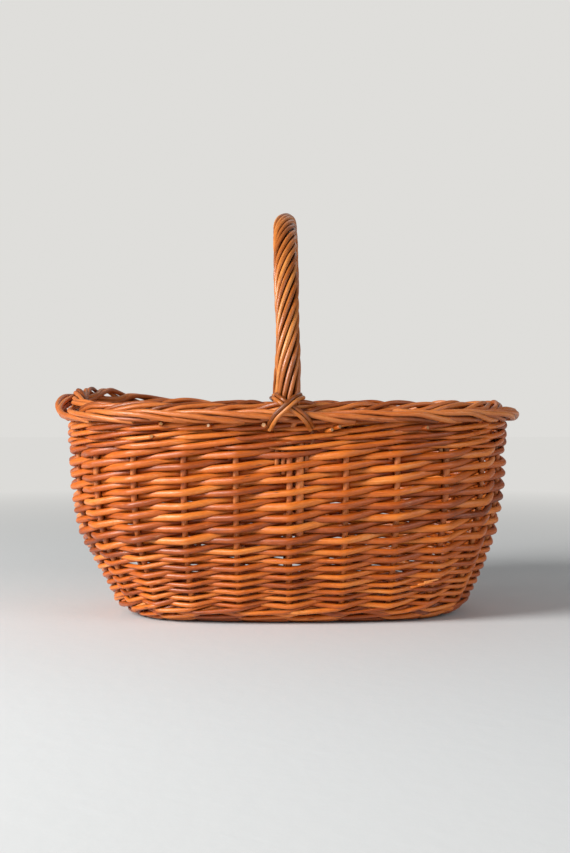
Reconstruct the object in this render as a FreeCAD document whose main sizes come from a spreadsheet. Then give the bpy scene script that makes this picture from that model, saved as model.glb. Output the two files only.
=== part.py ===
import FreeCAD, Part
import math
import os

from FreeCAD import Matrix, Placement, Rotation, Vector

# Stake-and-strand market basket: an oval stick base, 24 stakes bent up from it, woven siding between
# two bands of waling, a rolled border made of doubled rods, and a roped bow handle from front to back.
# Frame: origin on the floor under the middle, +X along the length, -Y the front, +Z up. Millimetres.

doc = FreeCAD.newDocument("market_basket")

# ---------------------------------------------------------------- driving dimensions
SIZES = {
    "half_length": 211, "half_depth": 142,           # wall's middle surface, where it is widest
    "corner_bend": 115, "front_turn": 10, "end_turn": 20,
    "wall_bow": 277, "widest_height": 150, "wall_tilt": 27, "wall_half": 8,
    "foot_height": 14, "foot_proud": 1,
    "siding_top": 166, "wale_top": 190, "wale_proud": 0.6,
    "border_tall": 19, "border_inside": 9, "border_outside": 22, "border_round": 5,
    "border_gap": 0.2, "border_face": 0.6, "border_ridge": 0.4,
    "rise": 15, "rise_station": 17.6, "rise_back": 230, "rise_front": 95,
    "stake_count": 24, "stake_radius": 3, "stake_insert": 38, "stake_in_border": 12,
    "handle_stake_drop": 7,
    "bye_radius": 2.4, "bye_bottom": 156, "bye_gap": 0.6,
    "base_low": 3, "base_thick": 10, "base_gap": 0.5,
    "cross_radius": 4, "long_radius": 2.5, "long_spacing": 10, "stick_gap": 0.6,
    "fit_clearance": 0.15,
    "bow_radius": 6.5, "bow_tip_radius": 4, "bow_tip_height": 80, "bow_top": 386.5,
    "bow_spring": 225, "bow_shift": -2, "bow_tip_gap": 1.4,
    "wrap_count": 10, "wrap_radius": 2.5, "wrap_pitch": 148, "wrap_start": 223, "wrap_gap": 0.25,
    "lash_radius": 2.1, "lash_gap": 0.5, "lash_spread": 20, "lash_drop": 6,
}
sheet = doc.addObject("Spreadsheet::Sheet", "sizes")
for row, (alias, number) in enumerate(SIZES.items(), start=1):
    sheet.set(f"A{row}", alias)
    sheet.set(f"B{row}", str(number))
    sheet.setAlias(f"B{row}", alias)
doc.recompute()


def size(alias):
    return float(getattr(sheet, alias))


half_length, half_depth = size("half_length"), size("half_depth")
wall_half, wall_bow = size("wall_half"), size("wall_bow")
widest_height = size("widest_height")
fit = size("fit_clearance")
stake_count = int(size("stake_count"))
stake_radius = size("stake_radius")

# ---------------------------------------------------------------- plan oval
# Eight tangent arcs. A heading is the outward normal's angle from the front (-Y) towards +X.
turns = [math.radians(size("front_turn")), math.radians(90 - size("end_turn"))]
corner_bend = size("corner_bend")


def solve_bends():
    """Radii of the front and end arcs that give the half length and half depth with the corner's radius."""
    s1, s2 = math.sin(turns[0]), math.sin(turns[1])
    c1, c2 = math.cos(turns[0]), math.cos(turns[1])
    right_x = half_length - corner_bend * (s2 - s1)
    right_y = half_depth - corner_bend * (c1 - c2)
    det = s1 * c2 - (1 - s2) * (1 - c1)
    front = (right_x * c2 - (1 - s2) * right_y) / det
    end = (s1 * right_y - (1 - c1) * right_x) / det
    return front, end


front_bend, end_bend = solve_bends()


def outward(heading):
    return Vector(math.sin(heading), -math.cos(heading), 0)


def quarter_centres():
    front = Vector(0, front_bend - half_depth, 0)
    corner = front + outward(turns[0]) * (front_bend - corner_bend)
    end = corner + outward(turns[1]) * (corner_bend - end_bend)
    return front, corner, end


def plan_arcs():
    """(centre, radius, first heading, last heading) of each arc, from the front middle towards +X."""
    front, corner, end = quarter_centres()
    flip_y, flip_x = Vector(1, -1, 1), Vector(-1, 1, 1)

    def mirrored(point, signs):
        return Vector(point.x * signs.x, point.y * signs.y, 0)

    back_corner = mirrored(corner, flip_y)
    marks = [0, turns[0], turns[1], math.pi - turns[1], math.pi - turns[0], math.pi]
    half = [(front, front_bend), (corner, corner_bend), (end, end_bend),
            (back_corner, corner_bend), (mirrored(front, flip_y), front_bend)]
    arcs = [(c, r, marks[i], marks[i + 1]) for i, (c, r) in enumerate(half)]
    left = [(mirrored(c, flip_x), r, 2 * math.pi - last, 2 * math.pi - first)
            for c, r, first, last in reversed(arcs)]
    return arcs + left


ARCS = plan_arcs()
perimeter = sum(radius * (last - first) for _, radius, first, last in ARCS)
stake_spacing = perimeter / stake_count


def plan_point(run, offset=0.0, height=0.0):
    """Point and heading at a run along the oval from the front middle, moved outward by offset."""
    run %= perimeter
    for centre, radius, first, last in ARCS:
        length = radius * (last - first)
        if run <= length + 1e-9:
            heading = first + run / radius
            point = centre + outward(heading) * (radius + offset)
            return Vector(point.x, point.y, height), heading
        run -= length
    return plan_point(0, offset, height)


def oval_wire(offset, height):
    edges = []
    for centre, radius, first, last in ARCS:
        ends = [centre + outward(a) * (radius + offset) for a in (first, (first + last) / 2, last)]
        edges.append(Part.Arc(*[Vector(p.x, p.y, height) for p in ends]).toShape())
    return Part.Wire(edges)


# ---------------------------------------------------------------- wall profile
# Points are (offset from the wall's middle surface, height). The wall is an arc that is upright where it is
# widest, and a tighter foot bend takes it down to the base's middle height.
tilt = math.radians(size("wall_tilt"))
base_middle = size("base_low") + size("base_thick") / 2
tilt_height = widest_height - wall_bow * math.sin(tilt)
foot_bend = (tilt_height - base_middle) / (1 - math.sin(tilt))
foot_centre = (-wall_bow + (wall_bow - foot_bend) * math.cos(tilt),
               widest_height - (wall_bow - foot_bend) * math.sin(tilt))
foot_outer = foot_bend + wall_half
part_turn = math.asin((foot_centre[1] - size("foot_height")) / foot_outer)
base_edge = foot_centre[0] - size("base_gap") / 2


def wall_arc(angle, side):
    """Point of the wall's arc at an angle below the widest height, side mm outside the middle surface."""
    reach = wall_bow + side
    return (-wall_bow + reach * math.cos(angle), widest_height - reach * math.sin(angle))


def foot_arc(angle, side):
    reach = foot_bend + side
    return (foot_centre[0] + reach * math.cos(angle), foot_centre[1] - reach * math.sin(angle))


def in_section(point):
    """Section coordinates to the plane that crosses the front middle."""
    return Vector(0, -half_depth - point[0], point[1])


def section_wire(items):
    """Closed wire through the items, each ("line", p, q) or ("arc", p, via, q)."""
    edges = []
    for kind, *points in items:
        placed = [in_section(p) for p in points]
        edges.append(Part.makeLine(*placed) if kind == "line" else Part.Arc(*placed).toShape())
    return Part.Wire(edges)


def swept_ring(name, items):
    """A ring with this section, swept round the plan oval."""
    spine = doc.addObject("Part::Feature", name + "_path")
    spine.Shape = oval_wire(0, base_middle)
    section = doc.addObject("Part::Feature", name + "_section")
    section.Shape = section_wire(items)
    ring = doc.addObject("Part::Sweep", name + "_ring")
    ring.Sections = [section]
    ring.Spine = (spine, [f"Edge{i + 1}" for i in range(len(ARCS))])
    ring.Solid = True
    ring.Frenet = False
    return ring


# ---------------------------------------------------------------- rods
def circle_at(centre, tangent, across, radius):
    """Circle square to the tangent, its seam on the across side."""
    x_axis = (across - tangent * across.dot(tangent)).normalize()
    y_axis = tangent.cross(x_axis)
    turned = Matrix(x_axis.x, y_axis.x, tangent.x, centre.x, x_axis.y, y_axis.y, tangent.y, centre.y,
                    x_axis.z, y_axis.z, tangent.z, centre.z, 0, 0, 0, 1)
    wire = Part.Wire(Part.makeCircle(radius))
    wire.Placement = Placement(turned)
    return wire, x_axis


def rod(points, radii, across):
    """A round rod through the points, its radius following radii."""
    wires = []
    last = len(points) - 1
    for i, point in enumerate(points):
        tangent = (points[min(i + 1, last)] - points[max(i - 1, 0)]).normalize()
        wire, across = circle_at(point, tangent, across, radii[i])
        wires.append(wire)
    return Part.makeLoft(wires, True, True)


def stake_form(radius, top):
    """Stake in the section plane at the front middle, from the base's edge weave up to the top height."""
    tip = (base_edge - size("stake_insert"), base_middle)
    middle = tilt / 2
    low_turn = (math.pi / 2 + tilt) / 2
    path = Part.Wire([
        Part.makeLine(in_section(tip), in_section(foot_arc(math.pi / 2, 0))),
        Part.Arc(*[in_section(foot_arc(a, 0)) for a in (math.pi / 2, low_turn, tilt)]).toShape(),
        Part.Arc(*[in_section(wall_arc(a, 0)) for a in (tilt, middle, 0)]).toShape(),
        Part.makeLine(in_section((0, widest_height)), in_section((0, top))),
    ])
    disc = Part.Wire(Part.makeCircle(radius, in_section(tip), Vector(0, 1, 0)))
    return path.makePipeShell([disc], True, False)


def stand_at(shape, run):
    """Moves a shape made at the front middle to a run along the oval."""
    point, heading = plan_point(run)
    moved = shape.copy()
    moved.translate(Vector(0, half_depth, 0))
    turned = Placement(point, Rotation(Vector(0, 0, 1), math.degrees(heading)))
    moved.Placement = turned.multiply(moved.Placement)
    return moved


def feature(label, shape):
    item = doc.addObject("Part::Feature", label)
    item.Shape = shape
    item.Label = label
    return item


# ---------------------------------------------------------------- border path and stakes
def rim_rise(run):
    """How far the rim lifts above its level height: slowly along the back, then quickly down to the front."""
    gap = run % perimeter - size("rise_station") * stake_spacing
    spread = size("rise_back") if gap < 0 else size("rise_front")
    share = min(abs(gap) / spread, 1)
    return size("rise") * (0.5 + 0.5 * math.cos(math.pi * share))


border_low = size("wale_top")
stake_runs = [i * stake_spacing for i in range(stake_count)]


def stake_top(run):
    return border_low + rim_rise(run) + size("stake_in_border")


# The bow thickens and moves across above these two stakes, so they end inside the top wale.
handle_stakes = (0, stake_count // 2)


nodes = {}
stake_channels = []
for number, run in enumerate(stake_runs, start=1):
    label = f"stake_{number:02d}"
    top = border_low - size("handle_stake_drop") if number - 1 in handle_stakes else stake_top(run)
    nodes[label] = feature(label, stand_at(stake_form(stake_radius, top), run))
    stake_channels.append(stand_at(stake_form(stake_radius + fit, top + fit), run))

# Bye-stakes stand on the run's lower side of each stake. At the handle the bow's ends take their place.
bye_radius, bye_bottom = size("bye_radius"), size("bye_bottom")
bye_step = stake_radius + bye_radius + size("bye_gap")


def bye_stake(run, extra):
    foot, _ = plan_point(run - bye_step, 0, bye_bottom - extra)
    tall = stake_top(run) - bye_bottom + 2 * extra
    return Part.makeCylinder(bye_radius + extra, tall, foot)


bye_runs = [run for i, run in enumerate(stake_runs) if i not in handle_stakes]
nodes["bye_stakes"] = feature("bye_stakes", Part.makeCompound([bye_stake(run, 0) for run in bye_runs]))
bye_channels = [bye_stake(run, fit) for run in bye_runs]

# ---------------------------------------------------------------- handle bow
bow_radius, bow_tip_radius = size("bow_radius"), size("bow_tip_radius")
bow_spring, bow_top = size("bow_spring"), size("bow_top")
bow_tip_side = stake_radius + bow_tip_radius + size("bow_tip_gap")
bow_arch = bow_top - bow_spring


def bow_half(steps=18):
    """(point, radius) from the front tip to the top of the arch."""
    stations = []
    tip_angle = math.asin((widest_height - size("bow_tip_height")) / wall_bow)
    for share in (0, 0.25, 0.5, 0.75):
        offset, height = wall_arc(tip_angle * (1 - share), 0)
        stations.append((Vector(bow_tip_side, -half_depth - offset, height), bow_tip_radius))
    for height in (widest_height, widest_height + 20, border_low - 4):
        stations.append((Vector(bow_tip_side, -half_depth, height), bow_tip_radius))
    shift = size("bow_shift")
    stations.append((Vector(shift, -half_depth, bow_spring - 12), bow_radius))
    for i in range(steps + 1):
        turn = math.pi / 2 * i / steps
        place = Vector(shift, -half_depth * math.cos(turn), bow_spring + bow_arch * math.sin(turn))
        stations.append((place, bow_radius))
    return stations


def bow_shape(extra):
    front = bow_half()
    back = [(Vector(p.x, -p.y, p.z), r) for p, r in reversed(front[:-1])]
    stations = front + back
    return rod([p for p, _ in stations], [r + extra for _, r in stations], Vector(1, 0, 0))


nodes["handle_bow"] = feature("handle_bow", bow_shape(0))
bow_channel = bow_shape(2 * fit)

# ---------------------------------------------------------------- handle wrapping rods
wrap_radius, wrap_count = size("wrap_radius"), int(size("wrap_count"))
wrap_reach = bow_radius + wrap_radius + size("wrap_gap")


def arch_stations(step=8.0):
    """Points, tangents and running lengths of the bow's centreline above the wraps' starting height."""
    count = 400
    shift = size("bow_shift")
    leg = bow_spring - size("wrap_start")
    raw = [Vector(shift, -half_depth, size("wrap_start"))] if leg > 0 else []
    for i in range(count + 1):
        turn = math.pi * i / count
        raw.append(Vector(shift, -half_depth * math.cos(turn), bow_spring + bow_arch * math.sin(turn)))
    if leg > 0:
        raw.append(Vector(shift, half_depth, size("wrap_start")))
    runs = [0.0]
    for a, b in zip(raw, raw[1:]):
        runs.append(runs[-1] + (b - a).Length)
    pieces = int(runs[-1] / step)
    stations, at = [], 0
    for k in range(pieces + 1):
        run = runs[-1] * k / pieces
        while at < len(runs) - 2 and runs[at + 1] < run:
            at += 1
        share = (run - runs[at]) / (runs[at + 1] - runs[at])
        tangent = (raw[at + 1] - raw[at]).normalize()
        stations.append((raw[at] + (raw[at + 1] - raw[at]) * share, tangent, run))
    return stations


ARCH = arch_stations()
for number in range(wrap_count):
    label = f"handle_wrap_{number + 1:02d}"
    points = []
    for centre, tangent, run in ARCH:
        turn = 2 * math.pi * (number / wrap_count + run / size("wrap_pitch"))
        side = Vector(1, 0, 0)
        up = tangent.cross(side)
        points.append(centre + (side * math.cos(turn) + up * math.sin(turn)) * wrap_reach)
    first_side = points[0] - ARCH[0][0]
    nodes[label] = feature(label, rod(points, [wrap_radius] * len(points), first_side))

# ---------------------------------------------------------------- base
cross_radius, long_radius = size("cross_radius"), size("long_radius")
stick_gap = size("stick_gap")


def cylinder(name, radius, length, place, axis):
    item = doc.addObject("Part::Cylinder", name)
    item.setExpression("Radius", radius)
    item.Height = length
    item.Placement = Placement(place, Rotation(Vector(0, 0, 1), axis))
    return item


def compound(name, parts):
    item = doc.addObject("Part::Compound", name)
    item.Links = parts
    return item


def cut(label, base, tool):
    item = doc.addObject("Part::Cut", label)
    item.Base, item.Tool = base, tool
    item.Label = label
    return item


slab_offset = base_edge - size("base_gap") / 2
long_reach = half_length + slab_offset - size("stake_insert") - stick_gap - stake_radius
long_rows = [size("long_spacing") * k for k in (-2, -1, 0, 1, 2)]
long_sticks, long_channels = [], []
for number, row in enumerate(long_rows, start=1):
    start = Vector(-long_reach, row, base_middle)
    long_sticks.append(cylinder(f"long_stick_{number}", "sizes.long_radius", 2 * long_reach, start,
                                Vector(1, 0, 0)))
    long_channels.append(cylinder(f"long_channel_{number}", "sizes.long_radius + sizes.fit_clearance",
                                  2 * (long_reach + fit), start - Vector(fit, 0, 0), Vector(1, 0, 0)))
nodes["base_long_sticks"] = compound("base_long_sticks", long_sticks)
long_channel = compound("long_channels", long_channels)

# Each cross stick lies beside the inner end of a stake, on the side towards the middle.
cross_step = stake_radius + cross_radius + stick_gap
cross_sticks, cross_channels = [], []
for number, index in enumerate((-2, -1, 0, 1, 2), start=1):
    stake_end, _ = plan_point(index * stake_spacing, base_edge - size("stake_insert"))
    slab_edge, _ = plan_point(index * stake_spacing, slab_offset)
    across = stake_end.x - math.copysign(cross_step, index)
    reach = -slab_edge.y - cross_radius
    start = Vector(across, -reach, base_middle)
    cross_sticks.append(cylinder(f"cross_stick_{number}", "sizes.cross_radius", 2 * reach, start,
                                 Vector(0, 1, 0)))
    cross_channels.append(cylinder(f"cross_channel_{number}", "sizes.cross_radius + sizes.fit_clearance",
                                   2 * (reach + fit), start - Vector(0, fit, 0), Vector(0, 1, 0)))
cross_plain = compound("cross_sticks_plain", cross_sticks)
nodes["base_cross_sticks"] = cut("base_cross_sticks", cross_plain, long_channel)

slab_face = doc.addObject("Part::Feature", "base_outline")
slab_face.Shape = Part.Face(oval_wire(slab_offset, size("base_low")))
slab = doc.addObject("Part::Extrusion", "base_slab")
slab.Base = slab_face
slab.Dir = Vector(0, 0, 1)
slab.DirMode = "Custom"
slab.setExpression("LengthFwd", "sizes.base_thick")
slab.Solid = True
stake_holes = doc.addObject("Part::Feature", "stake_channels")
stake_holes.Shape = Part.makeCompound(stake_channels)
bye_holes = doc.addObject("Part::Feature", "bye_channels")
bye_holes.Shape = Part.makeCompound(bye_channels)
bow_hole = doc.addObject("Part::Feature", "bow_channel")
bow_hole.Shape = bow_channel
cross_channel = compound("cross_channels", cross_channels)
base_holes = compound("base_channels", [stake_holes, long_channel, cross_channel])
nodes["base_weave"] = cut("base_weave", slab, base_holes)

# ---------------------------------------------------------------- foot wale, siding and top wale
proud = wall_half + size("foot_proud")
floor_turn = math.asin(foot_centre[1] / (foot_bend + proud))
under_turn = math.pi / 2
foot_items = [
    ("line", (base_edge, foot_arc(under_turn, -wall_half)[1]), foot_arc(under_turn, -wall_half)),
    ("arc", foot_arc(under_turn, -wall_half), foot_arc((under_turn + part_turn) / 2, -wall_half),
     foot_arc(part_turn, -wall_half)),
    ("line", foot_arc(part_turn, -wall_half), foot_arc(part_turn, proud)),
    ("arc", foot_arc(part_turn, proud), foot_arc((part_turn + floor_turn) / 2, proud),
     foot_arc(floor_turn, proud)),
    ("line", foot_arc(floor_turn, proud), (base_edge, 0)),
    ("line", (base_edge, 0), (base_edge, foot_arc(under_turn, -wall_half)[1])),
]
siding_top = size("siding_top")
siding_items = [
    ("arc", foot_arc(part_turn, wall_half), foot_arc((part_turn + tilt) / 2, wall_half),
     foot_arc(tilt, wall_half)),
    ("arc", wall_arc(tilt, wall_half), wall_arc(tilt / 2, wall_half), wall_arc(0, wall_half)),
    ("line", wall_arc(0, wall_half), (wall_half, siding_top)),
    ("line", (wall_half, siding_top), (-wall_half, siding_top)),
    ("line", (-wall_half, siding_top), wall_arc(0, -wall_half)),
    ("arc", wall_arc(0, -wall_half), wall_arc(tilt / 2, -wall_half), wall_arc(tilt, -wall_half)),
    ("arc", foot_arc(tilt, -wall_half), foot_arc((part_turn + tilt) / 2, -wall_half),
     foot_arc(part_turn, -wall_half)),
    ("line", foot_arc(part_turn, -wall_half), foot_arc(part_turn, wall_half)),
]
wale_half = wall_half + size("wale_proud")
wale_items = [
    ("line", (-wale_half, siding_top), (wale_half, siding_top)),
    ("line", (wale_half, siding_top), (wale_half, border_low)),
    ("line", (wale_half, border_low), (-wale_half, border_low)),
    ("line", (-wale_half, border_low), (-wale_half, siding_top)),
]
upright_holes = compound("upright_channels", [stake_holes, bye_holes, bow_hole])
nodes["foot_wale"] = cut("foot_wale", swept_ring("foot", foot_items), stake_holes)
nodes["siding_weave"] = cut("siding_weave", swept_ring("siding", siding_items), upright_holes)
nodes["top_wale"] = cut("top_wale", swept_ring("wale", wale_items), upright_holes)

# ---------------------------------------------------------------- border
border_tall, border_round = size("border_tall"), size("border_round")
inside, outside = -size("border_inside"), size("border_outside")


def border_section(run):
    """Outline of the border across the run: its top slopes down from a ridge to the outer face."""
    low = border_low + size("border_gap") + rim_rise(run)
    face, high = low + size("border_face") * border_tall, low + border_tall
    ridge = inside + size("border_ridge") * (outside - inside)
    outline = [(inside, low), (outside - border_round, low), (outside, low + border_round),
               (outside, face), (ridge, high), (inside, high)]
    points = [plan_point(run, offset, height)[0] for offset, height in outline]
    return Part.makePolygon(points + points[:1])


section_count = 4 * stake_count
border_ring = doc.addObject("Part::Feature", "border_ring")
border_sections = [border_section(perimeter * i / section_count) for i in range(section_count)]
border_ring.Shape = Part.makeLoft(border_sections, True, False, True)
nodes["border"] = cut("border", border_ring, upright_holes)

# ---------------------------------------------------------------- handle lashings
# A pair of thin rods crosses in front of each leg: up to the right over the border, round behind the bow
# and down to the right over the first crossing. Points are (across from the leg, outward, height) and the
# way that the second rod of the pair lies from the first.
lash_radius, lash_gap = size("lash_radius"), size("lash_gap")
lash_pair = 2 * lash_radius + 0.4
lash_face = outside + lash_radius + 2 * lash_gap
lash_over = lash_face + 2 * lash_radius + lash_gap
lash_wale = wale_half + lash_radius + lash_gap
lash_round = bow_radius + lash_radius + lash_gap
lash_diagonal = lash_round * 0.75
rim_top = border_low + size("border_gap") + border_tall
lash_seat = rim_top + lash_radius + lash_gap
lash_low = border_low - size("lash_drop")
spread = size("lash_spread")
up_left, up_right, up = Vector(-0.7, 0, 0.7), Vector(0.7, 0, 0.7), Vector(0, 0, 1)
LASH_ROUTE = [
    (-spread, lash_wale + 1, lash_low, up_left),
    (-spread * 0.8, lash_face - 1, border_low - 0.5, up_left),
    (-spread * 0.6, lash_face, border_low + 0.25 * border_tall, up_left),
    (0, lash_face, border_low + 0.75 * border_tall, up_left),
    (0.45 * spread, lash_face - 1, lash_seat + 0.5, up_left),
    (0.72 * spread, 0.6 * lash_face, lash_seat + 1, up),
    (lash_round + 1.5, 0.3 * lash_round, lash_seat + 1.5, up),
    (lash_diagonal, -lash_diagonal, lash_seat + 1.5, up),
    (0, -lash_round - 0.2, lash_seat + 1.5, up),
    (-lash_diagonal, -lash_diagonal, lash_seat + 1.5, up),
    (-lash_round - 1.5, 0.3 * lash_round, lash_seat + 1.5, up),
    (-0.72 * spread, 0.7 * lash_face, lash_seat + 1, up),
    (-0.5 * spread, lash_over - 1, lash_seat + 0.5, up_right),
    (0, lash_over, border_low + 0.75 * border_tall, up_right),
    (spread * 0.6, lash_over, border_low + 0.25 * border_tall, up_right),
    (spread * 0.85, lash_face, border_low - 0.5, up_right),
    (spread * 1.1, lash_wale + 1, lash_low, up_right),
]


def lashing(side):
    """Both rods of the lashing on the front (side -1) or back (side 1) leg."""
    rods = []
    for step in (0, lash_pair):
        points = []
        for across, out, height, way in LASH_ROUTE:
            place = Vector(size("bow_shift") + across, side * (half_depth + out), height)
            points.append(place + way * step)
        curve = Part.BSplineCurve()
        curve.interpolate(points)
        stations = curve.discretize(Number=4 * len(points))
        rods.append(rod(stations, [lash_radius] * len(stations), Vector(0, 1, 0)))
    return Part.makeCompound(rods)


nodes["lashing_front"] = feature("lashing_front", lashing(-1))
nodes["lashing_back"] = feature("lashing_back", lashing(1))

doc.recompute()

# ---------------------------------------------------------------- checks and export
for item in doc.Objects:
    if "Invalid" in item.State or "Error" in item.State:
        raise RuntimeError(f"{item.Name} failed: {item.State}")
for label, item in nodes.items():
    if item.Shape.isNull() or not item.Shape.isValid():
        raise RuntimeError(f"{label} has no valid shape")

os.makedirs("parts", exist_ok=True)
for label, item in nodes.items():
    item.Shape.exportStep(f"parts/{label}.step")
    print(label, len(item.Shape.Solids), round(item.Shape.Volume))
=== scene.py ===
import math

import bpy
import numpy as np
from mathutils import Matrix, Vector


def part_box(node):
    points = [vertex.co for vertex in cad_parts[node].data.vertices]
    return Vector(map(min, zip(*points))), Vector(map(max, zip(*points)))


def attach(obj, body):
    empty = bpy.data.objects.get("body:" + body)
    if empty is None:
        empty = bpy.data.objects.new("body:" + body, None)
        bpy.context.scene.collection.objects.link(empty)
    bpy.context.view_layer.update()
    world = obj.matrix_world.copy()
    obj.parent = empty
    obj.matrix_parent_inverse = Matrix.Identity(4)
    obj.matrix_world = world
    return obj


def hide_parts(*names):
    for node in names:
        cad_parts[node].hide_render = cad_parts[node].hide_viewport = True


# Woven willow market basket. Every rod is its own tapered tube, laid along the path that it has in a real
# basket: French-randed siding, three-rod waling, a rolled border and a roped handle. Lengths are in
# millimetres until a mesh is made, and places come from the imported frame.

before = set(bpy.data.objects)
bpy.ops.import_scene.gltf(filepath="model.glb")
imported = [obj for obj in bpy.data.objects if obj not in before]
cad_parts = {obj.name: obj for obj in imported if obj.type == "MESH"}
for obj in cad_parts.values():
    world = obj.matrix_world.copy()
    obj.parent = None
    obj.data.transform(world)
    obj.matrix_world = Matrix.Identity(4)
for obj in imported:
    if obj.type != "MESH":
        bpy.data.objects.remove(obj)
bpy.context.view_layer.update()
MM = 1000.0

rng = np.random.default_rng(24)


# ------------------------------------------------------------------ sizes taken from the frame
def low_high(node):
    low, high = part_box(node)
    return np.array(low) * MM, np.array(high) * MM


siding_high = low_high("siding_weave")[1]
wale_high = low_high("top_wale")[1]
border_high = low_high("border")[1]
slab_low, slab_high = low_high("base_weave")
bow_low, bow_high = low_high("handle_bow")
stake_low, stake_high = low_high("stake_01")

WALL_HALF = 8.0                       # from the wall's middle surface to the crests of the weave
HALF_LENGTH = siding_high[0] - WALL_HALF
HALF_DEPTH = siding_high[1] - WALL_HALF
STAKE_RADIUS = (stake_high[0] - stake_low[0]) / 2
BORDER_BASE = wale_high[2]
BASE_MIDDLE = (slab_low[2] + slab_high[2]) / 2
BORDER_OUT = border_high[0] - HALF_LENGTH
STAKES = 24

# ------------------------------------------------------------------ plan oval and wall profile, as in the CAD
CORNER_BEND, FRONT_TURN, END_TURN = 115.0, math.radians(10), math.radians(20)
WALL_BOW, WIDEST_HEIGHT, WALL_TILT = 277.0, 150.0, math.radians(27)
# The rim's rise at the left end: how high, at which stake, and how far it reaches to the back and the front.
RISE, RISE_STATION, RISE_BACK, RISE_FRONT = 15.0, 17.6, 230.0, 95.0
# The weave follows 0.8 of the rise, up to LIFT_PAST mm past its peak, and eases out over LIFT_EASE mm.
WEAVE_SHARE, LIFT_PAST, LIFT_EASE = 0.8, 25.0, 60.0
# The left end of the foot draws in: how far, over which x (from, over) and below which height (from, over).
LEFT_FOOT_PULL, LEFT_FROM, LEFT_OVER, FOOT_TOP, FOOT_OVER = 8.0, -60.0, 110.0, 90.0, 65.0


def oval_arcs():
    """Centres, radii and end headings of the eight tangent arcs, from the front middle towards +X."""
    s1, s2 = math.sin(FRONT_TURN), math.cos(END_TURN)
    c1, c2 = math.cos(FRONT_TURN), math.sin(END_TURN)
    right_x = HALF_LENGTH - CORNER_BEND * (s2 - s1)
    right_y = HALF_DEPTH - CORNER_BEND * (c1 - c2)
    det = s1 * c2 - (1 - s2) * (1 - c1)
    front_bend = (right_x * c2 - (1 - s2) * right_y) / det
    end_bend = (s1 * right_y - (1 - c1) * right_x) / det
    front = np.array([0.0, front_bend - HALF_DEPTH])
    corner = front + (front_bend - CORNER_BEND) * np.array([s1, -c1])
    end = corner + (CORNER_BEND - end_bend) * np.array([s2, -c2])
    flip_y, flip_x = np.array([1, -1]), np.array([-1, 1])
    centres = [front, corner, end, corner * flip_y, front * flip_y, corner * flip_y * flip_x, end * flip_x,
               corner * flip_x, front]
    radii = [front_bend, CORNER_BEND, end_bend, CORNER_BEND, front_bend, CORNER_BEND, end_bend, CORNER_BEND,
             front_bend]
    joins = [FRONT_TURN, math.pi / 2 - END_TURN]
    marks = [0] + joins + [math.pi - a for a in reversed(joins)] + [math.pi + a for a in joins]
    marks += [2 * math.pi - a for a in reversed(joins)] + [2 * math.pi]
    return np.array(centres), np.array(radii), np.array(marks)


ARC_CENTRES, ARC_RADII, ARC_MARKS = oval_arcs()
ARC_RUNS = np.concatenate([[0], np.cumsum(ARC_RADII * np.diff(ARC_MARKS))])
PERIMETER = ARC_RUNS[-1]
SPACE = PERIMETER / STAKES


def plan(run, offset):
    """x, y and heading at a run along the oval, moved outward by offset."""
    run = np.mod(run, PERIMETER)
    k = np.clip(np.searchsorted(ARC_RUNS, run, side="right") - 1, 0, len(ARC_RADII) - 1)
    heading = ARC_MARKS[k] + (run - ARC_RUNS[k]) / ARC_RADII[k]
    reach = ARC_RADII[k] + offset
    return (ARC_CENTRES[k, 0] + reach * np.sin(heading), ARC_CENTRES[k, 1] - reach * np.cos(heading), heading)


FOOT_BEND = (WIDEST_HEIGHT - WALL_BOW * math.sin(WALL_TILT) - BASE_MIDDLE) / (1 - math.sin(WALL_TILT))
FOOT_OFFSET = -WALL_BOW + (WALL_BOW - FOOT_BEND) * math.cos(WALL_TILT)
FOOT_HEIGHT = WIDEST_HEIGHT - (WALL_BOW - FOOT_BEND) * math.sin(WALL_TILT)
BOW_RISE = WALL_BOW * WALL_TILT


def profile(climb):
    """Offset, height and tilt of the wall's middle surface. climb is the length up the wall from the tilted
    end of its long arc: below 0 is the foot bend, and past the arc the wall is upright."""
    climb = np.asarray(climb, float)
    foot = np.clip(WALL_TILT - climb / FOOT_BEND, WALL_TILT, math.pi / 2)
    arc = np.clip(WALL_TILT - climb / WALL_BOW, 0, WALL_TILT)
    low = climb < 0
    tilt = np.where(low, foot, arc)
    offset = np.where(low, FOOT_OFFSET + FOOT_BEND * np.cos(tilt), -WALL_BOW + WALL_BOW * np.cos(tilt))
    height = np.where(low, FOOT_HEIGHT - FOOT_BEND * np.sin(tilt), WIDEST_HEIGHT - WALL_BOW * np.sin(tilt))
    flat = np.minimum(0, climb + FOOT_BEND * (math.pi / 2 - WALL_TILT))
    return offset + flat, height + np.maximum(0, climb - BOW_RISE), tilt


def rim_rise(run):
    """How far the border lifts above its level height towards the left end, slowly along the back."""
    gap = np.mod(run, PERIMETER) - RISE_STATION * SPACE
    share = np.minimum(np.abs(gap) / np.where(gap < 0, RISE_BACK, RISE_FRONT), 1)
    return RISE * (0.5 + 0.5 * np.cos(math.pi * share))


def wall_lift(run):
    """How much taller the weave stands along the back towards the left, where it follows the rim up."""
    end = RISE_STATION * SPACE + LIFT_PAST
    return WEAVE_SHARE * rim_rise(run) * np.clip((end - np.mod(run, PERIMETER)) / LIFT_EASE, 0, 1)


def on_wall(run, climb, proud):
    """Points at runs along the oval and climbs up the wall, proud mm outside its middle surface."""
    climb = climb + wall_lift(run) * np.clip(climb / UPRIGHT_TOP, 0, 1) ** 2
    offset, height, tilt = profile(climb)
    x, y, _ = plan(run, offset + proud * np.cos(tilt))
    return np.stack([x, y, height - proud * np.sin(tilt)], axis=1)


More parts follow.
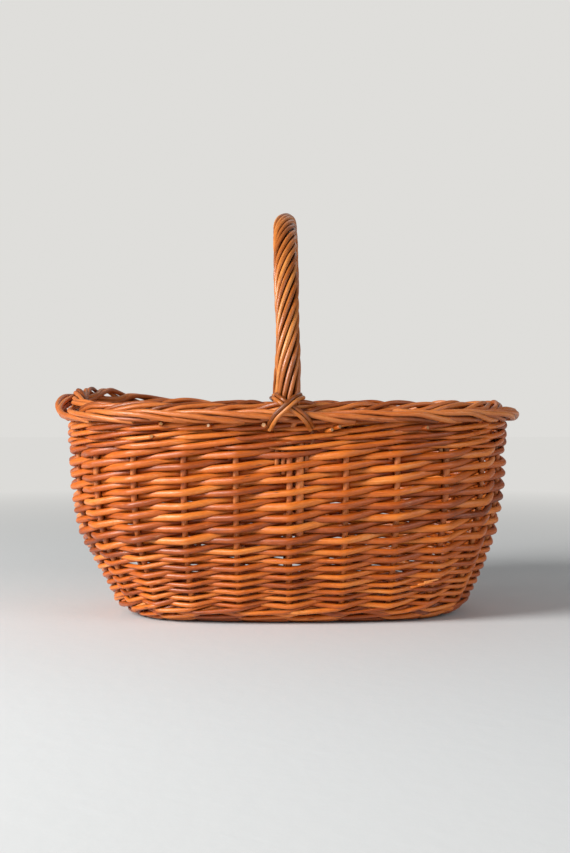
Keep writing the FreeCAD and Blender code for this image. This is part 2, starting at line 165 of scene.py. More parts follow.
def climb_at(height):
    """Climb of an upright or tilted point of the middle surface at a height."""
    if height >= WIDEST_HEIGHT:
        return BOW_RISE + height - WIDEST_HEIGHT
    tilt = math.asin((WIDEST_HEIGHT - height) / WALL_BOW)
    if tilt <= WALL_TILT:
        return (WALL_TILT - tilt) * WALL_BOW
    return -(math.asin((FOOT_HEIGHT - height) / FOOT_BEND) - WALL_TILT) * FOOT_BEND


UPRIGHT_TOP = climb_at(BORDER_BASE)


# ------------------------------------------------------------------ rods
def smooth(share):
    """Share held between 0 and 1 and eased at both ends."""
    share = np.clip(share, 0, 1)
    return share * share * (3 - 2 * share)


def wander(count, knots, amount):
    """A smooth random series: values at evenly spaced knots, joined by cosine steps."""
    values = rng.normal(0, amount, knots + 2)
    at = np.linspace(0, knots, count)
    low = np.minimum(at.astype(int), knots)
    share = (1 - np.cos(math.pi * (at - low))) / 2
    return values[low] * (1 - share) + values[low + 1] * share


SPLINE_STEPS = 24


def spline(points, step):
    """Points every step mm along a Catmull-Rom curve through the given ones."""
    points = np.asarray(points, float)
    padded = np.vstack([2 * points[0] - points[1], points, 2 * points[-1] - points[-2]])
    fine = []
    for p0, p1, p2, p3 in zip(padded, padded[1:], padded[2:], padded[3:]):
        u = np.linspace(0, 1, SPLINE_STEPS, endpoint=False)[:, None]
        fine.append(0.5 * (2 * p1 + (p2 - p0) * u + (2 * p0 - 5 * p1 + 4 * p2 - p3) * u ** 2
                           + (3 * p1 - p0 - 3 * p2 + p3) * u ** 3))
    return even(np.vstack(fine + [points[-1:]]), step)


def run_lengths(points):
    """Length along the line from its start to each point."""
    return np.concatenate([[0], np.cumsum(np.linalg.norm(np.diff(points, axis=0), axis=1))])


def even(points, step):
    """The same line with its points evenly spaced about step mm apart."""
    runs = run_lengths(points)
    wanted = np.linspace(0, runs[-1], max(4, int(round(runs[-1] / step)) + 1))
    return np.stack([np.interp(wanted, runs, points[:, k]) for k in range(points.shape[1])], axis=1)


def frames(points):
    """Unit tangents and two crossing directions carried along the line without twist."""
    tangents = np.gradient(points, axis=0)
    tangents /= np.linalg.norm(tangents, axis=1)[:, None]
    first = np.cross(tangents[0], [0.3, 0.2, 0.93])
    sides = np.empty_like(points)
    side = first / np.linalg.norm(first)
    for i, tangent in enumerate(tangents):
        side = side - tangent * (side @ tangent)
        side /= np.linalg.norm(side)
        sides[i] = side
    return tangents, sides, np.cross(tangents, sides)


def left_foot(points):
    """The basket's left end draws in a little more towards the floor than its right end."""
    points = np.array(points, float)
    leftward = np.clip((LEFT_FROM - points[:, 0]) / LEFT_OVER, 0, 1)
    downward = np.clip((FOOT_TOP - points[:, 2]) / FOOT_OVER, 0, 1)
    points[:, 0] += LEFT_FOOT_PULL * smooth(leftward * downward)
    return points


class Bundle:
    """Collects rods, then makes them one mesh object with the attributes that the willow material reads."""

    def __init__(self):
        self.rods = []

    def add(self, points, radius, sides=12, tone=None):
        points = left_foot(points)
        radius = np.broadcast_to(np.asarray(radius, float), len(points)).copy()
        radius *= 1 + wander(len(points), max(3, len(points) // 14), 0.025)
        self.rods.append((points, radius, sides, rng.random() if tone is None else tone))

    def build(self, name, material, slot, *nodes):
        blocks = [rod_block(*rod) for rod in self.rods]
        return bundle_object(name, blocks, material, nodes)


BEVEL, END_SHARE = 0.25, 0.78         # a rod end's bevel and its end face, as shares of the rod's radius
TONE_STEP, GRAIN_SPAN = (40, 90), 4000         # how far a rod's tone and chance move its grain


def rod_block(points, radius, sides, tone):
    """Vertices, quads, cap triangles and attributes of one rod, its ends cut square with a small bevel."""
    tangents, side, up = frames(points)
    along = run_lengths(points)
    for end in (0, -1):
        inner = points[end] - tangents[end] * BEVEL * radius[end] * (1 if end else -1)
        at = len(points) if end else 0
        rows = ((points, points[end]), (side, side[end]), (up, up[end]), (along, along[end]),
                (tangents, tangents[end]), (radius, radius[end] * END_SHARE))
        points, side, up, along, tangents, radius = [np.insert(row, at, value, axis=0) for row, value in rows]
        points[-2 if end else 1] = inner
    turn = np.arange(sides) * 2 * math.pi / sides
    ring = np.cos(turn)[None, :, None] * side[:, None] + np.sin(turn)[None, :, None] * up[:, None]
    rings = points[:, None] + ring * radius[:, None, None]
    count = len(points)
    offset = rng.uniform(0, GRAIN_SPAN)
    space = np.stack([np.broadcast_to(along[:, None] + offset, (count, sides)),
                      radius[:, None] * np.cos(turn)[None] + TONE_STEP[0] * tone,
                      radius[:, None] * np.sin(turn)[None] + TONE_STEP[1] * tone], axis=2)
    index = np.arange(count * sides).reshape(count, sides)
    nxt = np.roll(index, -1, axis=1)
    quads = np.stack([index[:-1], nxt[:-1], nxt[1:], index[1:]], axis=2).reshape(-1, 4)
    caps, cap_space = [], []
    triangles = []
    base = count * sides
    for row, flip in ((0, True), (count - 1, False)):
        start = base + len(caps)
        caps += [points[row]] + list(rings[row])
        cap_space += [space[row].mean(axis=0)] + list(space[row])
        for j in range(sides):
            a, b = start + 1 + j, start + 1 + (j + 1) % sides
            triangles.append((start, b, a) if flip else (start, a, b))
    vertices = np.vstack([rings.reshape(-1, 3), np.array(caps)])
    spaces = np.vstack([space.reshape(-1, 3), np.array(cap_space)])
    cut = np.concatenate([np.zeros(base), np.ones(len(caps))])
    return {"vertices": vertices, "space": spaces, "cut": cut, "tone": np.full(len(vertices), tone),
            "quads": quads, "triangles": np.array(triangles), "length": along[-1], "rings": count,
            "girth": 2 * math.pi * radius.mean(), "sides": sides}


STRIP_SLACK, STRIP_GAP, CAP_SLACK = 1.08, 1.12, 1.2
STRIP_MARGIN, CAP_SHARE = 0.06, 0.42


def strip_map(blocks):
    """Map coordinates for every corner: each rod is cut into strips of one length, stacked in rows, with the
    rods' end faces in a last row."""
    total = sum(b["length"] * b["girth"] for b in blocks)
    strip = max(math.sqrt(total) * STRIP_SLACK, max(b["girth"] for b in blocks))
    rows = []
    for block in blocks:
        per = max(1, int((block["rings"] - 1) * min(1, strip / block["length"])))
        for start in range(0, block["rings"] - 1, per):
            rows.append((block, start, min(start + per, block["rings"] - 1)))
    heights = [r[0]["girth"] * STRIP_GAP for r in rows]
    cap_height = max(b["girth"] for b in blocks) / math.pi
    full = sum(heights) + cap_height * CAP_SLACK
    quad_parts = {id(b): [] for b in blocks}
    level = 0.0
    for (block, start, stop), height in zip(rows, heights):
        span = stop - start
        sides = block["sides"]
        u0 = (np.arange(start, stop) - start) / max(span, 1)
        u1 = u0 + 1 / max(span, 1)
        scale = min(1.0, span / max(block["rings"] - 1, 1) * block["length"] / strip)
        v = (level + height * (STRIP_MARGIN + (1 - 2 * STRIP_MARGIN) * np.arange(sides + 1) / sides)) / full
        corner = np.zeros((span, sides, 4, 2))
        corner[:, :, 0, 0] = corner[:, :, 1, 0] = (u0 * scale)[:, None]
        corner[:, :, 2, 0] = corner[:, :, 3, 0] = (u1 * scale)[:, None]
        corner[:, :, 0, 1] = corner[:, :, 3, 1] = v[None, :-1]
        corner[:, :, 1, 1] = corner[:, :, 2, 1] = v[None, 1:]
        quad_parts[id(block)].append(corner.reshape(-1, 2))
        level += height
    maps = []
    cap_step = 1.0 / (2 * len(blocks))
    for i, block in enumerate(blocks):
        sides = block["sides"]
        turn = np.arange(sides + 1) * 2 * math.pi / sides
        reach = CAP_SHARE * min(cap_step, cap_height / full)
        parts = []
        for k in range(2):
            middle = np.array([(2 * i + k + 0.5) * cap_step, 1 - CAP_SLACK / 2 * cap_height / full])
            edge = middle + reach * np.stack([np.cos(turn), np.sin(turn)], axis=1)
            pair = [edge[1:], edge[:-1]] if k == 0 else [edge[:-1], edge[1:]]
            parts.append(np.stack([np.broadcast_to(middle, (sides, 2)), *pair], axis=1).reshape(-1, 2))
        maps.append(np.vstack(quad_parts[id(block)] + parts))
    return maps


def bundle_object(name, blocks, material, nodes):
    sizes = [len(b["vertices"]) for b in blocks]
    shift = np.concatenate([[0], np.cumsum(sizes)[:-1]])
    loops, totals = [], []
    for block, first in zip(blocks, shift):
        loops += [(block["quads"] + first).ravel(), (block["triangles"] + first).ravel()]
        totals += [np.full(len(block["quads"]), 4), np.full(len(block["triangles"]), 3)]
    loops, totals = np.concatenate(loops), np.concatenate(totals)
    vertices = np.vstack([b["vertices"] for b in blocks]) / MM
    mesh = bpy.data.meshes.new(name)
    mesh.vertices.add(len(vertices))
    mesh.vertices.foreach_set("co", vertices.astype(np.float32).ravel())
    mesh.loops.add(len(loops))
    mesh.loops.foreach_set("vertex_index", loops.astype(np.int32))
    mesh.polygons.add(len(totals))
    mesh.polygons.foreach_set("loop_start", np.concatenate([[0], np.cumsum(totals)[:-1]]).astype(np.int32))
    mesh.polygons.foreach_set("use_smooth", totals == 4)
    mesh.update(calc_edges=True)
    mesh.validate()
    for attribute, kind, field in (("space", "FLOAT_VECTOR", "vector"), ("cut", "FLOAT", "value"),
                                   ("tone", "FLOAT", "value")):
        values = np.concatenate([np.asarray(b[attribute], np.float32).ravel() for b in blocks])
        mesh.attributes.new("rod_" + attribute, kind, "POINT").data.foreach_set(field, values)
    layer = mesh.uv_layers.new(name="OFBake")
    layer.data.foreach_set("uv", np.vstack(strip_map(blocks)).astype(np.float32).ravel())
    mesh.materials.append(material)
    piece = bpy.data.objects.new(name, mesh)
    bpy.context.scene.collection.objects.link(piece)
    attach(piece, "root")
    if nodes:
        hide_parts(*nodes)
    return piece


# ------------------------------------------------------------------ willow material
def linear(code):
    """Linear colour of an sRGB hex code."""
    parts = [int(code[i:i + 2], 16) / 255 for i in (0, 2, 4)]
    return tuple(c / 12.92 if c <= 0.04045 else ((c + 0.055) / 1.055) ** 2.4 for c in parts) + (1.0,)


class Graph:
    """Short calls for building a node tree."""

    def __init__(self, name):
        self.material = bpy.data.materials.new(name)
        self.material.use_nodes = True
        self.tree = self.material.node_tree
        self.tree.nodes.clear()

    def node(self, kind, inputs=None, **settings):
        made = self.tree.nodes.new(kind)
        for key, value in settings.items():
            setattr(made, key, value)
        for key, value in (inputs or {}).items():
            socket = made.inputs[key]
            if isinstance(value, bpy.types.NodeSocket):
                self.tree.links.new(value, socket)
            else:
                socket.default_value = value
        return made

    def math(self, operation, a, b=0.0, c=0.0, clamp=False):
        made = self.node("ShaderNodeMath", {0: a, 1: b, 2: c}, operation=operation, use_clamp=clamp)
        return made.outputs[0]

    def spread(self, value, amount):
        """The value's distance from its middle of 0.5, times amount."""
        return self.math("MULTIPLY", self.math("SUBTRACT", value, 0.5), amount)

    def scaled(self, vector, scale):
        return self.node("ShaderNodeVectorMath", {0: vector, 1: scale}, operation="MULTIPLY").outputs[0]

    def noise(self, vector, scale, detail=3.0, roughness=0.55):
        made = self.node("ShaderNodeTexNoise", {"Vector": self.scaled(vector, scale), "Scale": 1.0,
                                                "Detail": detail, "Roughness": roughness})
        return made.outputs["Fac"]

    def ramp(self, value, stops):
        made = self.node("ShaderNodeValToRGB", {"Fac": value})
        elements = made.color_ramp.elements
        for _ in range(len(stops) - 2):
            elements.new(0.5)
        for element, (place, colour) in zip(elements, stops):
            element.position = place
            element.color = linear(colour) if isinstance(colour, str) else (colour, colour, colour, 1)
        return made.outputs["Color"]

    def mix(self, share, a, b, blend="MIX"):
        made = self.node("ShaderNodeMix", {"Factor": share}, data_type="RGBA", blend_type=blend)
        for socket, value in ((made.inputs[6], a), (made.inputs[7], b)):
            if isinstance(value, bpy.types.NodeSocket):
                self.tree.links.new(value, socket)
            else:
                socket.default_value = linear(value) if isinstance(value, str) else value
        return made.outputs[2]


COLOUR_STOPS = (0.08, 0.34, 0.58, 0.80, 0.97)
# The last colour is the dark brown of painted shade in the creases between rods; knots and stains are the
# willow's own marks.
KNOT, STAIN, PAINTED_CREASE_SHADE = "3A1A0A", "5A2810", "2E1004"
CUT_PALE, CUT_DARK = "C99A62", "8A5A30"
PAINTED_SHADE_REACH = 0.0045                 # metres: surfaces closer than this darken one another's colour, as painted shade
GRAIN_DEPTH = 0.00045                 # metres


def willow(name, colours, worn, gloss=0.34):
    """Varnished willow: colours run from dark rods to pale ones, and worn is the colour of scuffs. The scales
    of the noises are per mm along the rod and across it."""
    g = Graph(name)
    space = g.node("ShaderNodeAttribute", attribute_name="rod_space").outputs["Vector"]
    tone = g.node("ShaderNodeAttribute", attribute_name="rod_tone").outputs["Fac"]
    cut = g.node("ShaderNodeAttribute", attribute_name="rod_cut").outputs["Fac"]
    patches = g.noise(space, (0.014, 0.10, 0.10), 2.0)
    streaks = g.noise(space, (0.035, 1.3, 1.3), 4.0, 0.6)
    grain = g.noise(space, (0.12, 4.5, 4.5), 3.0, 0.6)
    mottle = g.noise(space, (0.22, 0.55, 0.55), 3.0)

    shade = g.math("MULTIPLY_ADD", tone, 0.46, 0.27)
    shade = g.math("ADD", shade, g.spread(patches, 0.75))
    shade = g.math("ADD", shade, g.spread(streaks, 0.55))
    shade = g.math("ADD", shade, g.spread(mottle, 0.30), clamp=True)
    colour = g.ramp(shade, list(zip(COLOUR_STOPS, colours)))
    fine = g.ramp(grain, [(0.30, 0.72), (0.62, 1.0)])
    colour = g.mix(0.55, colour, fine, "MULTIPLY")

    spots = g.node("ShaderNodeTexVoronoi", {"Vector": g.scaled(space, (0.028, 0.16, 0.16)), "Scale": 1.0,
                                            "Randomness": 1.0}, feature="F1")
    knot = g.ramp(spots.outputs["Distance"], [(0.05, 1.0), (0.11, 0.0)])
    colour = g.mix(g.math("MULTIPLY", knot, 0.80), colour, KNOT)
    scuffs = g.ramp(g.noise(space, (0.10, 0.8, 0.8), 5.0, 0.7), [(0.60, 0.0), (0.72, 1.0)])
    colour = g.mix(g.math("MULTIPLY", scuffs, 0.42), colour, worn)
    stain = g.ramp(g.noise(space, (0.05, 0.35, 0.35), 3.0), [(0.62, 0.0), (0.80, 1.0)])
    colour = g.mix(g.math("MULTIPLY", stain, 0.55), colour, STAIN)
    colour = g.mix(cut, colour, g.mix(grain, CUT_PALE, CUT_DARK))
    # Painted shade: the colour darkens towards dark brown where other rods come close, in the creases between
    # them.
    painted_crease_shade = g.node("ShaderNodeAmbientOcclusion", {"Distance": PAINTED_SHADE_REACH}, samples=6)
    colour = g.mix(g.ramp(painted_crease_shade.outputs["AO"], [(0.12, 0.95), (0.66, 0.0)]), colour, PAINTED_CREASE_SHADE)

    rough = g.math("ADD", g.math("MULTIPLY", streaks, 0.26), gloss - 0.10)
    height = g.math("ADD", g.math("MULTIPLY", grain, 0.45), g.math("MULTIPLY", streaks, 0.8))
    height = g.math("ADD", height, g.math("MULTIPLY", knot, 0.5))
    bump = g.node("ShaderNodeBump", {"Height": height, "Strength": 0.65, "Distance": GRAIN_DEPTH})
    surface = g.node("ShaderNodeBsdfPrincipled",
                     {"Base Color": colour, "Roughness": rough, "Normal": bump.outputs["Normal"],
                      "Coat Weight": 0.10, "Coat Roughness": 0.22, "Specular IOR Level": 0.50})
    g.node("ShaderNodeOutputMaterial", {"Surface": surface.outputs["BSDF"]})
    return g.material


siding_willow = willow("willow_siding", ("6C2C04", "A64A0C", "CC6414", "E4802C", "F2A660"), "F4BE90")
border_willow = willow("willow_border", ("6A2E08", "9C4C14", "C46626", "DC823C", "EEA668"), "F2C294")
handle_willow = willow("willow_handle", ("683008", "9C5016", "C46E2A", "DA8C44", "E8AA6C"), "F4C898", 0.30)
# The bow's core is coloured darker than the roping as painted shade, so that the gaps between the roping rods
# look shaded.
core_willow_painted_shade = willow("willow_core_painted_shade", ("3A1C0A", "5A3014", "74421E", "8C5830", "A06E44"), "B08458")
base_willow = willow("willow_base", ("54290F", "7E4119", "A45C28", "BC773C", "CE9256"), "D9A56A")

# ------------------------------------------------------------------ siding: French randing
FIRST_ROW, ROWS = -0.9, 33.35         # each rod starts and ends inside, behind a stake
# The rods thicken from tip to butt, so the rows open out upwards: (row, height at a stake).
ROW_HEIGHTS = np.array([(-2, 8.4), (0, 14.8), (8, 41.2), (16, 73.0), (24, 115.7), (32, 161.9), (36, 185.0)])
STROKE_ANGLE = 0.985                  # near 1 the rods bend sharply at the stakes
# Thickness and sag as shares of the pitch between rows, and the smoothing of the pitch in points each way.
ROD_SHARE, SAG_SHARE, PITCH_SMOOTH = 0.58, 0.12, 40
WEAVER_STEP = 2.5
FINE_ROWS = np.linspace(-1.5, 35, 300)
FINE_CLIMBS = np.array([climb_at(np.interp(row, *ROW_HEIGHTS.T)) for row in FINE_ROWS])


def weaver(first_space):
    """One siding rod: in front of a stake, behind the next, rising a row at each, tip low and butt high."""
    rows = np.linspace(FIRST_ROW, ROWS, int(ROWS * SPACE / WEAVER_STEP))
    climb = np.interp(rows, FINE_ROWS, FINE_CLIMBS)
    pitch = np.interp(rows, FINE_ROWS, np.gradient(FINE_CLIMBS, FINE_ROWS))
    window = 2 * PITCH_SMOOTH + 1
    pitch = np.convolve(np.pad(pitch, PITCH_SMOOTH, mode="edge"), np.ones(window) / window, mode="valid")
    radius = ROD_SHARE * pitch * (1 + rng.normal(0, 0.05) + wander(len(rows), int(ROWS), 0.045))
    swing = np.arcsin(STROKE_ANGLE * np.cos(math.pi * rows)) / math.asin(STROKE_ANGLE)
    reach = STAKE_RADIUS + radius - 0.6 + wander(len(rows), int(ROWS), 0.3)
    climb = climb - SAG_SHARE * pitch * np.abs(swing) + wander(len(rows), int(ROWS), 0.5) * pitch / 5
    run = (first_space + rows) * SPACE
    return on_wall(run, climb, reach * swing), radius


for number in range(STAKES):
    bundle = Bundle()
    bundle.add(*weaver(number), 12)
    bundle.build(f"siding_rod_{number + 1:02d}", siding_willow, "siding", "siding_weave")


# Stubs: (run, height, how far out, how far they lean along the run).
STUBS = [(-21, 187, 9, -3), (31, 182, 10, 5), (37, 184.5, 9, 6), (118, 184, 8, 4), (-118, 188, 9, 3),
         (-126, 176.5, 9, 3), (171, 179, 8, 5), (-70, 186.5, 8, -3)]
STUB_ROOT = 5.0
FRAY_RUNS, FRAY_HEIGHT, FRAY_STEP = (116, 124, 131), 40.0, 2.2
FRAY_LENGTH, FRAY_RISE, FRAY_OUT = 15, (-1, 2.5), (7.5, 9.5)


def cut_ends():
    """Ends of joined-in rods: short stubs that stick out between the strokes, and a frayed weaver."""
    bundle = Bundle()
    for run, height, out, lean in STUBS:
        root = on_wall(np.array([run]), climb_at(height), STUB_ROOT)[0]
        tip = on_wall(np.array([run + lean]), climb_at(height + 0.35 * abs(lean)), STUB_ROOT + out)[0]
        bundle.add(np.linspace(root, tip, 6), rng.uniform(1.7, 2.3), 10)
    for k, run in enumerate(FRAY_RUNS):
        climb = climb_at(FRAY_HEIGHT + FRAY_STEP * k) + np.linspace(*FRAY_RISE, 8)
        points = on_wall(np.linspace(run, run + FRAY_LENGTH, 8), climb, np.linspace(*FRAY_OUT, 8))
        bundle.add(points, np.linspace(1.3, 0.5, 8), 8, tone=0.95)
    bundle.build("cut_ends", siding_willow, "siding")


cut_ends()


# ------------------------------------------------------------------ waling
WALE_STEP = 0.1                       # share of a round in which the rods step up to the next
# A wave over three stakes: out past two, in behind the third, its crest softened; and how the rod rises.
WAVE_MEAN, WAVE_SWING, CREST = 1 / 3, 4 / 3, 0.18
LIFT_MEAN, LIFT_COS, LIFT_SIN = 0.067, -0.567, 0.173
WALE_POINTS = 2.6                     # mm between points


def wale_rod(phase, rounds, low, high, radius, reach):
    """A waling rod: over two stakes on a rising slant, behind the third. It starts and ends behind a stake at
    the back, where it steps up from each round to the next."""
    start = phase + 2 + STAKES / 2
    stake = start + np.linspace(0, rounds * STAKES, int(rounds * PERIMETER / WALE_POINTS))
    beat = 2 * math.pi * (stake - phase) / 3
    wave = WAVE_MEAN + WAVE_SWING * np.cos(beat - math.pi / 3)
    wave = np.where(wave > 1, 1 + CREST * np.tanh((wave - 1) / CREST), wave)
    lift = LIFT_MEAN + LIFT_COS * np.cos(beat) + LIFT_SIN * np.sin(beat)
    done = (stake - start) / STAKES
    level = np.minimum(np.floor(done) + smooth((done % 1 - 1 + WALE_STEP) / WALE_STEP), rounds - 1)
    climb = low + (level + 0.5) * (high - low) / rounds + 2 * radius * lift
    climb = climb + wander(len(stake), int(rounds * STAKES), 0.6)
    proud = reach * wave + wander(len(stake), int(rounds * STAKES), 0.25)
    return on_wall(stake * SPACE, climb, proud)


def waling(name, rounds, low, high, radius, reach, material, node):
    for phase in range(3):
        bundle = Bundle()
        points = even(wale_rod(phase, rounds, low, high, radius, reach), WALE_POINTS)
        bundle.add(points, radius * (1 + wander(len(points), int(rounds * 10), 0.10)), 12)
        bundle.build(f"{name}_{phase + 1}", material, "siding", node)


def foot_climb(degrees):
    """Climb of the foot bend's point whose tilt is this many degrees."""
    return -(math.radians(degrees) - WALL_TILT) * FOOT_BEND


TOP_WALE_RADIUS, FOOT_WALE_RADIUS = 2.45, 2.15
waling("top_wale_rod", 3, climb_at(siding_high[2]), climb_at(wale_high[2]), TOP_WALE_RADIUS,
       STAKE_RADIUS + 2.6, siding_willow, "top_wale")
waling("foot_wale_rod", 3, foot_climb(84), foot_climb(36), FOOT_WALE_RADIUS, STAKE_RADIUS + 2.3,
       siding_willow, "foot_wale")

# ------------------------------------------------------------------ stakes, bye-stakes and the rolled border
# The doubled rods of the border: up to the right over the top, down inside behind the next pairs, out
# between them and down to the right over the outer face. Points are (stakes travelled, offset, height above
# the wale).
STAKE_TURN = [(0.15, 0.5, 3.5), (0.5, 3.5, 8.5), (0.9, 3.6, 12.6), (1.3, -0.5, 15.6), (1.7, -5.0, 15.2),
              (2.1, -7.0, 11.5), (2.5, -3.0, 8.4), (2.9, 5.0, 9.0), (3.3, 12.0, 9.2), (3.8, 17.0, 8.2),
              (4.3, 18.8, 6.0), (4.8, 16.5, 3.2), (5.15, 11.5, 1.8)]
BYE_TURN = [(0.15, 0.3, 5.5), (0.5, 2.6, 12.4), (0.9, 0.2, 16.6), (1.3, -4.5, 17.2), (1.7, -8.2, 13.6),
            (2.1, -8.4, 7.8), (2.5, -4.0, 4.6), (2.9, 4.0, 4.6), (3.3, 11.0, 4.8), (3.8, 15.6, 4.0),
            (4.3, 14.0, 2.6), (4.7, 9.5, 1.8)]
BYE_STEP, BYE_LOW, BYE_RADIUS = 6.0, 156.0, 2.2
STAKE_INSERT = 36.0                   # length of a stake inside the base
STAKE_TAPER, TAPER_FROM, TAPER_OVER = 0.2, 150.0, 60.0
BORDER_POINTS = 2.8                   # mm between points
BOW_ROOM, BOW_REACH = 10.5, 15.0      # how far the border's rods keep from the handle, and over what run


def border_run(start, turn):
    """The rod's way along the border, bending round the feet of the handle."""
    half = PERIMETER / 2
    rows = []
    for travelled, offset, height in turn:
        run = start + travelled * SPACE
        gap = min(abs((run - foot + half) % PERIMETER - half) for foot in (0, half))
        room = BOW_ROOM * math.exp(-(gap / BOW_REACH) ** 2)
        offset = math.copysign(max(abs(offset), room), offset) + rng.normal(0, 0.5)
        x, y, _ = plan(np.array([run]), np.array([offset]))
        rows.append([x[0], y[0], BORDER_BASE + height + rim_rise(run) + rng.normal(0, 0.8)])
    return rows


def wall_line(run, low_climb, high_climb, step=6.0):
    climb = np.arange(low_climb, high_climb, step)
    return on_wall(np.full(len(climb), run), climb, np.zeros(len(climb)))


for number in range(STAKES):
    run = number * SPACE + rng.normal(0, 0.8)
    path = wall_line(run, foot_climb(90) - STAKE_INSERT, UPRIGHT_TOP - 6 + rim_rise(run))
    path = spline(np.vstack([path, border_run(run, STAKE_TURN)]), BORDER_POINTS)
    taper = STAKE_TAPER * np.clip((path[:, 2] - TAPER_FROM) / TAPER_OVER, 0, 1)
    bundle = Bundle()
    bundle.add(path, STAKE_RADIUS * (1 - taper) * (1 + rng.normal(0, 0.04)), 12, tone=rng.uniform(0.55, 1.0))
    bundle.build(f"stake_rod_{number + 1:02d}", border_willow, "stakes", f"stake_{number + 1:02d}")

for number in range(STAKES):
    run = number * SPACE - BYE_STEP
    path = wall_line(run, climb_at(BYE_LOW), UPRIGHT_TOP - 5 + rim_rise(run))
    path = spline(np.vstack([path, border_run(run + BYE_STEP, BYE_TURN)]), BORDER_POINTS)
    bundle = Bundle()
    bundle.add(path, BYE_RADIUS * (1 + rng.normal(0, 0.08)), 12)
    bundle.build(f"bye_stake_{number + 1:02d}", border_willow, "border", "bye_stakes", "border")

# ------------------------------------------------------------------ handle
BOW_SHIFT, BOW_SPRING, BOW_RADIUS, TAIL_RADIUS = -2.0, 225.0, 6.5, 3.9
BOW_TOP = bow_high[2] - BOW_RADIUS
WRAPS, WRAP_RADIUS, WRAP_PITCH = 10, 2.1, 148.0
# The arch is a little skewed above its feet: (share of the half depth from front to back, mm to the right).
BOW_LEAN = [(-1, -0.5), (-0.7, -2.0), (-0.3, -1.4), (0.2, 1.6), (0.7, 5.2), (1, 6.0)]
LEAN_START, LEAN_CLIMB = 226.0, 70.0
# The bow's thin ends: their run along the wall, the height where the legs begin, and where the ends thicken.
TAIL_RUN, LEG_LOW, TAIL_WIDEN, WIDEN_OVER = 8.2, 212.0, 184.0, 26.0
WRAP_LOW, WRAP_POINTS = 206.0, 2.6
# Near its feet the roping straightens: to this share of its turn, over this length.
FOOT_TURN, FOOT_EASE = 0.42, 46.0


def bow_line(step, low):
    """The bow's centreline from the front leg at height low, over the arch, to the back leg."""
    turn = np.linspace(0, math.pi, 240)
    arch = np.stack([np.full(len(turn), BOW_SHIFT), -HALF_DEPTH * np.cos(turn),
                     BOW_SPRING + (BOW_TOP - BOW_SPRING) * np.sin(turn)], axis=1)
    legs = np.arange(low, BOW_SPRING - 1, 4.0)
    front = np.stack([np.full(len(legs), BOW_SHIFT), np.full(len(legs), -HALF_DEPTH), legs], axis=1)
    back = front[::-1] * np.array([1, -1, 1])
    line = even(np.vstack([front, arch, back]), step)
    lean = np.interp(line[:, 1] / HALF_DEPTH, *zip(*BOW_LEAN))
    line[:, 0] += lean * smooth((line[:, 2] - LEAN_START) / LEAN_CLIMB)
    return line


def handle_bow():
    """The thick rod inside the handle, coloured darker as painted shade where it is roped, and its two ends
    in the wall.
    """
    tail = wall_line(TAIL_RUN, climb_at(bow_low[2]), UPRIGHT_TOP - 10, 8.0)
    core = spline(np.vstack([tail, bow_line(6, LEG_LOW), (tail * np.array([1, -1, 1]))[::-1]]), 4)
    size = TAIL_RADIUS + (BOW_RADIUS - TAIL_RADIUS) * np.clip((core[:, 2] - TAIL_WIDEN) / WIDEN_OVER, 0, 1)
    high = np.nonzero(core[:, 2] > BORDER_BASE + 8)[0]
    bundle = Bundle()
    bundle.add(core[high], size[high], 16)
    bundle.build("handle_core", core_willow_painted_shade, "handle_core", "handle_bow")
    bundle = Bundle()
    bundle.add(core[:high[0] + 1], size[:high[0] + 1], 14, tone=0.8)
    bundle.add(core[high[-1]:], size[high[-1]:], 14, tone=0.8)
    bundle.build("handle_core_ends", border_willow, "handle_core")


def handle_roping():
    """The rods laid side by side round the bow, turning slowly along it."""
    line = bow_line(WRAP_POINTS, WRAP_LOW)
    tangents = np.gradient(line, axis=0)
    tangents /= np.linalg.norm(tangents, axis=1)[:, None]
    side = np.tile([1.0, 0, 0], (len(line), 1))
    side -= tangents * (side * tangents).sum(axis=1)[:, None]
    side /= np.linalg.norm(side, axis=1)[:, None]
    up = np.cross(tangents, side)
    runs = run_lengths(line)
    from_end = np.minimum(runs, runs[-1] - runs)
    rate = FOOT_TURN + (1 - FOOT_TURN) * np.clip(from_end / FOOT_EASE, 0, 1)
    turned = np.concatenate([[0], np.cumsum((rate[1:] + rate[:-1]) / 2 * np.diff(runs))])
    turned -= np.interp(runs[-1] / 2, runs, turned)
    for number in range(WRAPS):
        angle = 2 * math.pi * (number / WRAPS + turned / WRAP_PITCH) + wander(len(line), 14, 0.045)
        size = WRAP_RADIUS * (1 + rng.normal(0, 0.05)) * (1 + wander(len(line), 8, 0.03))
        reach = BOW_RADIUS + size + 0.2 + np.abs(wander(len(line), 12, 0.25))
        points = line + (side * np.cos(angle)[:, None] + up * np.sin(angle)[:, None]) * reach[:, None]
        bundle = Bundle()
        bundle.add(points, size, 14)
        bundle.build(f"handle_rod_{number + 1:02d}", handle_willow, "wrapping_rods",
                     f"handle_wrap_{number + 1:02d}")


# Ends of the roping rods pushed down into the wall at each foot of the handle: (across, lowest height).
WRAP_TAILS = [(-12.5, 150), (-6.6, 143), (14.2, 147), (19.5, 158)]
WRAP_TAIL_RADIUS = 2.35


def roping_ends(side_sign, side_name):
    bundle = Bundle()
    for across, lowest in WRAP_TAILS:
        line = wall_line(across, climb_at(lowest), UPRIGHT_TOP + 14)
        line[:, 1] *= -side_sign
        bundle.add(spline(line, 3), WRAP_TAIL_RADIUS, 10)
    bundle.build(f"roping_ends_{side_name}", handle_willow, "wrapping_rods")


handle_bow()
handle_roping()
roping_ends(-1, "front")
roping_ends(1, "back")

# ------------------------------------------------------------------ lashings
LASH_RADIUS = 1.85
FACE = BORDER_OUT - 1.0 + LASH_RADIUS          # how far out the lashing lies on the border's face
